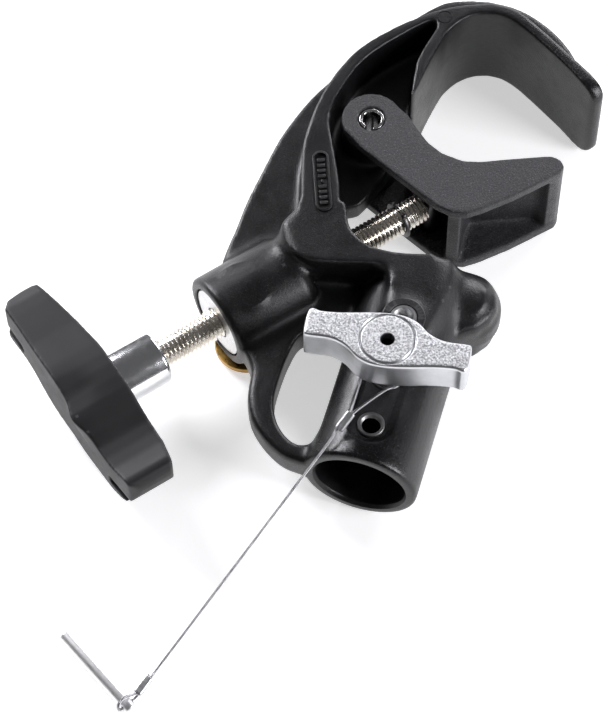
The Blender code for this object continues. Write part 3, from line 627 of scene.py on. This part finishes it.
def plugged(node, name, plugs):
    """The CAD node with its machined holes filled, ready to be cast."""
    return join(copy_of(node, name), plugs)


def offset(outline, inset):
    """The closed outline (counter-clockwise) moved inwards."""
    pts = [Vector((p[0], p[1])) for p in outline]
    out = []
    for i, p in enumerate(pts):
        along = (pts[(i + 1) % len(pts)] - pts[i - 1]).normalized()
        out.append(p + Vector((-along.y, along.x)) * inset)
    return out


BORE_R, SOCKET_MOUTH, BORE_END = 14.3, -133.0, -72.0
PIN_HOLE, INSERT_R, BUTTON_T, BUTTON_TRAVEL = 4.45, 4.3, 6.8, 1.2
STEM_R, CAP_R = 7.4, 10.5
BUTTON, CAP = on_axis(BUTTON_T, 0, 0), on_axis(5.0, 3.5, 0)
plugs = [
    rod("plug", 9.2, PIVOT, UP, 6.2, 31.8),
    rod("plug", BORE_R + 1.8, (0, 0, MID), Y, SOCKET_MOUTH + 0.05, BORE_END + 1),
    rod("plug", SCREW_R + 1.5, on_axis(0), AXIS, -3, 45.2),
    rod("plug", 13.2, on_axis(0), AXIS, -3.95, 3),
    rod("plug", STEM_R + 1.4, BUTTON, UP, 4.5, 33),
]
SEATS = ((-82.3, 38.9), (-102.4, 35.5), (-119.8, 35.5))
for y, top in SEATS:
    plugs.append(rod("plug", INSERT_R + 1, (0, y, 0), UP, 30.5, top - 0.05))
casting_body = plugged("clamp_body", "frame_casting", plugs)


def valleys(points):
    """Where the casting's inside corners are filled out with wide fillets."""
    near_socket = 1 / (1 + np.exp((points[:, 1] + 44) / 3))
    return 0.35 + 0.65 * near_socket


nose = ((-46.0, -59.5, 36.0), 9.0, 110)
saddle = ((-46.5, -67.0, 33.0), 9.0, 120)
right_edge = [
    ((13.5, -56.0, 36.0), 11.0, 420),
    ((13.0, -66.0, 36.0), 10.5, 300),
    ((11.5, -77.0, 36.0), 8.5, 160),
]
lumps = [((-7.0, -77.5, 35.0), 7.0, 110), ((-9.5, -66.0, 36.0), 5.5, 60)]
cast(casting_body, 0.5, 9, 70, valleys, (nose, saddle, *right_edge, *lumps))


def pill(half, r):
    return arc(half, 0, r, -90, 90, 20) + arc(-half, 0, r, 90, 270, 20)


def bar(width, height):
    x, y = width / 2, height / 2
    return [(-x, -y), (x, -y), (x, y), (-x, y)]


label_place = frame_at(Vector((-38.3, -40.9, 0)), Vector((0.337, -0.941, 0)), Vector((0.941, 0.337, 0)))
boolean(casting_body, [prism("label", pill(8.7, 2.7), 36.5, 38.55, label_place, 0.2)], "UNION")
boolean(casting_body, [prism("field", pill(8.6, 1.95), 37.6, 40, label_place)], "DIFFERENCE")
for i in range(9):
    outline = pill(0.15, 0.45) if i == 4 else bar(1.1, 2.5)
    place = label_place @ Matrix.Translation((-8.0 + 2.0 * i, 0, 0))
    boolean(casting_body, [prism("mark", outline, 37, 38.2, place, 0.15)], "UNION")
boolean(casting_body, [rod("ring", 6.9, (0, -82.3, 0), UP, 34.5, 38.9, 0.5)], "UNION")

flat = [(7.2, -93.0), (-7.2, -93.0)] + arc(0, -119.3, 7.2, 180, 360, 32)
bore = [(0, SOCKET_MOUTH - 2), (BORE_R + 2.2, SOCKET_MOUTH - 2), (BORE_R, SOCKET_MOUTH + 1.2)]
bore += [(BORE_R, BORE_END), (0, BORE_END)]
boss_mouth = [(0, -9), (12.8, -9), (12.8, -4.3), (12.1, -3.6), (12.1, -1.4), (0, -1.4)]
cuts = [
    lathe("cut", bore, (0, 0, MID), Y, 0.4, 160),
    rod("cut", PIN_HOLE, PIVOT, UP, -1, 40),
    rod("cut", SCREW_R + 0.6, on_axis(0), AXIS, -6, 62.5, 0),
    lathe("cut", boss_mouth, on_axis(0), AXIS, 0.15, 128),
    prism("cut", flat, 34.7, 42),
    rod("cut", CAP_R + 1.3, CAP, UP, -3, 3.9),
    rod("cut", CAP_R + 0.4, CAP, UP, -3, 3.5 + BUTTON_TRAVEL),
    rod("cut", STEM_R + 0.35, BUTTON, UP, -3, 32.4),
    tube("cut", 2.5, 2.15, (-17.0, 31.7, 0), UP, 37.8, 39, 0),
]
for y, top in SEATS:
    flare = [(0, 30), (INSERT_R + 0.25, 30), (INSERT_R + 0.25, top - 0.2)]
    flare += [(INSERT_R + 0.9, top + 0.5), (0, top + 0.5)]
    cuts.append(lathe("cut", flare, (0, y, 0), UP, 0, 64))
boolean(casting_body, cuts, "DIFFERENCE")
shade(casting_body, 38)
finish(casting_body, coat, "frame", "clamp_body")

# ---- jaw -----------------------------------------------------------------------------------------
trunnion_at = on_axis(TRUNNION_T)
radial = Vector((trunnion_at.x - PIVOT.x, trunnion_at.y - PIVOT.y, 0)).normalized()
turned = math.degrees(math.atan2(radial.y, radial.x))
near, far = trunnion_at - radial * 0.5, trunnion_at + radial * 3.1
slot = arc(near.x, near.y, 3.55, turned + 90, turned + 270, 32)
slot += arc(far.x, far.y, 3.55, turned - 90, turned + 90, 32)
plugs = [rod("plug", PIN_HOLE + 0.5, PIVOT, UP, low, low + 3.9) for low in (1.55, 32.55)]
jaw = plugged("jaw", "jaw_casting", plugs)
cast(jaw, 0.4, 6, 40)
eye = [(0, -1), (5.2, -1), (5.2, 1.2), (PIN_HOLE, 1.9), (PIN_HOLE, 36.1), (5.2, 36.8), (5.2, 40), (0, 40)]
boolean(jaw, [lathe("cut", eye, PIVOT, UP), prism("cut", slot, 3.5, 34.5)], "DIFFERENCE")
shade(jaw, 38)
finish(jaw, coat_jaw, "jaw", "jaw")

ring = arc(PIVOT.x, PIVOT.y, 4.05, -68, 248, 72) + arc(PIVOT.x, PIVOT.y, 3.05, 248, -68, 72)
finish(prism("roll_pin", ring, 1.9, 36.1, None, 0.22), bright, "frame", "pivot_pin")


# ---- screw, snap ring, cross pin -----------------------------------------------------------------
def screw_limit(t):
    """The snap ring's groove and the turned-down tip."""
    if abs(t - CLIP_T) < 0.7:
        return 4.5
    if t < CLIP_T:
        return 9
    return 4.8 - max(0, t - 75.0) * 1.4 if t < 75.8 else min(1.7, 83.8 - t)


screw = thread("lead_screw", SCREW_R, 4.15, -45.8, 82.6, on_axis(0), AXIS, limit=screw_limit)
finish(screw, zinc, "screw", "main_screw")


def helix(radius, low, high, turns, r, origin, axis):
    """The middle line of a compression spring whose end coils are closed."""
    base = base_of(origin, axis)
    points = []
    count = int(turns * 40)
    shut = 1 / turns
    rise = 2 * r + 0.04
    for i in range(count + 1):
        f = i / count
        h = rise * (min(f, shut) + max(0, f - 1 + shut)) / shut
        h += (high - low - 2 * r - 2 * rise) * min(max(f - shut, 0) / (1 - 2 * shut), 1)
        points.append(on_circle(base, 2 * math.pi * turns * f, radius, low + r + h))
    return points


clip = arc(0, 0, 6.2, 18, 342, 64) + arc(0, 0, 4.7, 342, 18, 64)
across = frame_at(on_axis(0), UP, ACROSS)
snap = prism("snap_ring", clip, CLIP_T - 0.45, CLIP_T + 0.45, across, 0.1)
lugs = []
for a in (23.0, 337.0):
    c = Vector((6.5 * math.cos(math.radians(a)), 6.5 * math.sin(math.radians(a))))
    eyelet = arc(c.x, c.y, 1.1, 0, 345, 23)
    boolean(snap, [prism("add", eyelet, CLIP_T - 0.44, CLIP_T + 0.44, across, 0.1)], "UNION")
    lugs.append(prism("cut", arc(c.x, c.y, 0.45, 0, 345, 23), CLIP_T - 2, CLIP_T + 2, across))
boolean(snap, lugs, "DIFFERENCE")
shade(snap, 40)
finish(snap, dark_steel, "carriage", "screw_circlip")

# The guessed cross pin takes the black steel, chosen dark as painted shade so that it reads as the shade in
# the jaw's pocket.
cross = rod("cross_pin", 3.0, (trunnion_at.x, trunnion_at.y, 0), UP, 4.0, 34.0, 0.5)
boolean(cross, [rod("cut", 2.0, on_axis(0), AXIS, 60, 95)], "DIFFERENCE")
shade(cross, 40)
finish(cross, dark_steel, "carriage", "trunnion")

# ---- boss: guide disc and quick-release button ---------------------------------------------------
dished = [(SCREW_R + 0.3, -3.6), (10.2, -3.8), (11.6, -3.5), (11.6, -1.7), (SCREW_R + 0.3, -1.7)]
finish(lathe("thrust_disc", dished, on_axis(0), AXIS, 0.25, 128), plated, "frame", "guide_disc")

profile = [(0, 0.2), (CAP_R - 1.0, 0.2), (CAP_R, 1.0), (CAP_R, 3.3), (0, 3.3)]
button = lathe("brass_button", profile, CAP, UP, 0.4, 128)
boolean(button, [rod("stem", STEM_R, BUTTON, UP, 1.5, 28.0, 0.4)], "UNION")
ways = [rod("cut", SCREW_R + 0.3, on_axis(0, 0, MID - dz), AXIS, -10, 25) for dz in (0, BUTTON_TRAVEL)]
boolean(button, ways, "DIFFERENCE")
shade(button, 40)
finish(button, brass, "button", "release_button")

circle = [(2 * math.pi * k / 12, 0.4) for k in range(12)]
coil = swept("button_coil", helix(4.6, 28.3, 32.1, 3.0, 0.4, BUTTON, UP), circle)
coil.data.materials.append(bright.material)
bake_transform(coil)
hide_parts("button_spring")

# ---- T-handle ------------------------------------------------------------------------------------
profile = [(SCREW_R + 0.3, -46.3), (9.3, -46.3), (9.3, -26.3), (8.4, -25.5), (SCREW_R + 0.3, -25.5)]
collar = lathe("collar_ring", profile, on_axis(0), AXIS, 0.6, 128)
finish(collar, polished, "screw", "handle_collar")

GRIP_DIP, GRIP_SWELL = 1.1, 2.4


def bell(values, middle, width):
    return np.exp(-(((values - middle) / width) ** 2))


def sculpt_grip(co):
    """Hollows the grip's two broad faces near their middle and swells its upper outer edge beside that; co
    is in mm from the screw's start."""
    side, out = co @ np.array(ACROSS), -co @ np.array(AXIS)
    outer_part = 1 / (1 + np.exp((out.max() - 9.0 - out) / 1.5))
    co[:, 2] -= GRIP_DIP * bell(side, 3.0, 6.0) * outer_part * np.clip(co[:, 2] / 6, -1, 1)
    swell = GRIP_SWELL * bell(side, 10.0, 5.0) * outer_part * np.clip(co[:, 2] / 12, 0, 1)
    return co - np.array(AXIS) * swell[:, None]


grip = cast(copy_of("handle_grip", "grip_moulding"), 0.35, 7, 10)
start = np.array(on_axis(0)) - np.array(CENTRE)
set_coords(grip.data, (sculpt_grip(coords(grip.data) / MM - start) + start) * MM)
finish(grip, nylon, "screw", "handle_grip")

# ---- wing screw and inserts ----------------------------------------------------------------------
WING_AXIS = Vector((0, -102.4, 0))
WING_LOW, WING_TOP = 46.5, 59.5
half = [(25.9, -3.4), (25.4, 3.6), (23.6, 4.3), (17.0, 3.8), (12.0, 5.2), (8.0, 8.0), (3.6, 9.4)]
half += [(-2.0, 9.2), (-8.0, 8.0), (-16.0, 6.0), (-22.0, 5.1), (-24.7, 5.5)]
lean = Matrix.Translation(WING_AXIS) @ Matrix.Rotation(0.035, 4, "Z")
shape = curve(half + [(-x, -y) for x, y in half], 6, closed=True)
wing = prism("wing_casting", shape, WING_LOW, WING_TOP, lean, 0.9)
hub = [(0, 37.2), (4.6, 37.2), (5.4, 40.2), (7.6, WING_LOW + 0.6), (0, WING_LOW + 0.6)]
join(wing, [lathe("hub", hub, WING_AXIS, UP, 0.5)])
recess = prism("cut", offset(shape, 1.35), WING_TOP - 1.0, WING_TOP + 1, lean)
boolean(recess, [rod("hub", 8.4, WING_AXIS, UP, WING_TOP - 1, WING_TOP + 2)], "DIFFERENCE")
cast(wing, 0.3, 3, 20)
groove = tube("cut", 8.75, 8.1, WING_AXIS, UP, WING_TOP - 0.6, WING_TOP + 1, 0)
boolean(wing, [recess, groove], "DIFFERENCE")
cast(wing, 0.22, 3, 2)
top_hole = [(0, 51.5), (2.1, 51.5), (2.1, 59.2), (2.8, 60.2), (0, 60.2)]
bores = [
    rod("cut", 3.5, WING_AXIS, UP, 36.0, 50.0),
    lathe("cut", top_hole, WING_AXIS, UP, 0.2),
]
boolean(wing, bores, "DIFFERENCE")
shade(wing, 40)
finish(wing, casting, "wing", "wing_head")

finish(thread("threaded_stud", 3.2, 2.7, 30.6, 49.6, WING_AXIS, UP, 1.25), plated, "stud", "wing_stud")


def insert(name, y, high, bore):
    """A bush with a thread inside it."""
    base = base_of((0, y, 0), UP)
    low, segments = 33.6, 48
    rows = int((high - low) / 0.1)

    def thread_radius(t, k):
        """The thread's radius, opened out at the mouth."""
        r = bore - 0.5 + abs((t - k / segments) % 1 - 0.5)
        flare = max(0, t - high + 0.3) * 0.6
        return max(r, bore - 0.3 + flare) if flare else r

    heights = [low + (high - low) * i / rows for i in range(rows + 1)]
    circles = [(t, [thread_radius(t, k) for k in range(segments)]) for t in heights]
    edge = INSERT_R - 0.25
    outside = ((edge, high), (INSERT_R, high - 0.25), (INSERT_R, low + 0.25), (edge, low))
    circles += [(t, [r] * segments) for r, t in outside]
    verts, rings = [], []
    for t, radii in circles:
        rings.append(list(range(len(verts), len(verts) + segments)))
        verts += [on_circle(base, 2 * math.pi * k / segments, r, t) for k, r in enumerate(radii)]
    return build(name, verts, bands(rings, closed=True), 45)


for (node, (y, high)), bore in zip(INSERTS.items(), (3.4, 3.9, 3.4)):
    finish(insert(node + "_bush", y, high, bore), insert_steel, "frame", node)

# ---- stage ---------------------------------------------------------------------------------------
paper = Look("paper", Roughness=0.9, Specular_IOR_Level=0.1)
paper.shader.inputs["Emission Color"].default_value = (1, 1, 1, 1)
paper.shader.inputs["Emission Strength"].default_value = 0.55
paper.colour(paper.mix(paper.noise(30, 3), (0.86, 0.86, 0.86), (0.88, 0.88, 0.88)))
paper.bump(paper.noise(600, 3), 0.02, 0.3)
bpy.ops.mesh.primitive_grid_add(x_subdivisions=8, y_subdivisions=8, size=6, location=(0, 0, -0.0002))
floor = bpy.context.object
floor.name = "floor"
floor.data.materials.append(paper.material)


def softbox(name, place, width, height, power):
    """A light that faces the clamp."""
    light = bpy.data.lights.new(name, "AREA")
    light.shape, light.size, light.size_y = "RECTANGLE", width, height
    light.energy = power
    light.color = (0.965, 0.955, 1.0)
    obj = bpy.data.objects.new(name, light)
    bpy.context.scene.collection.objects.link(obj)
    obj.location = place
    obj.rotation_mode = "QUATERNION"
    obj.rotation_quaternion = Vector(place).to_track_quat("Z", "Y")


softbox("key", (-0.95, 0.55, 0.66), 0.5, 0.5, 19)
softbox("back", (0.25, 1.2, 0.6), 1.1, 0.35, 15)
softbox("right", (1.1, -0.1, 0.5), 0.45, 0.6, 13)
world = bpy.data.worlds.new("world")
world.use_nodes = True
world.node_tree.nodes["Background"].inputs["Color"].default_value = (1, 1, 1, 1)
world.node_tree.nodes["Background"].inputs["Strength"].default_value = 0.1
bpy.context.scene.world = world
bpy.context.scene.view_settings.view_transform = "Standard"
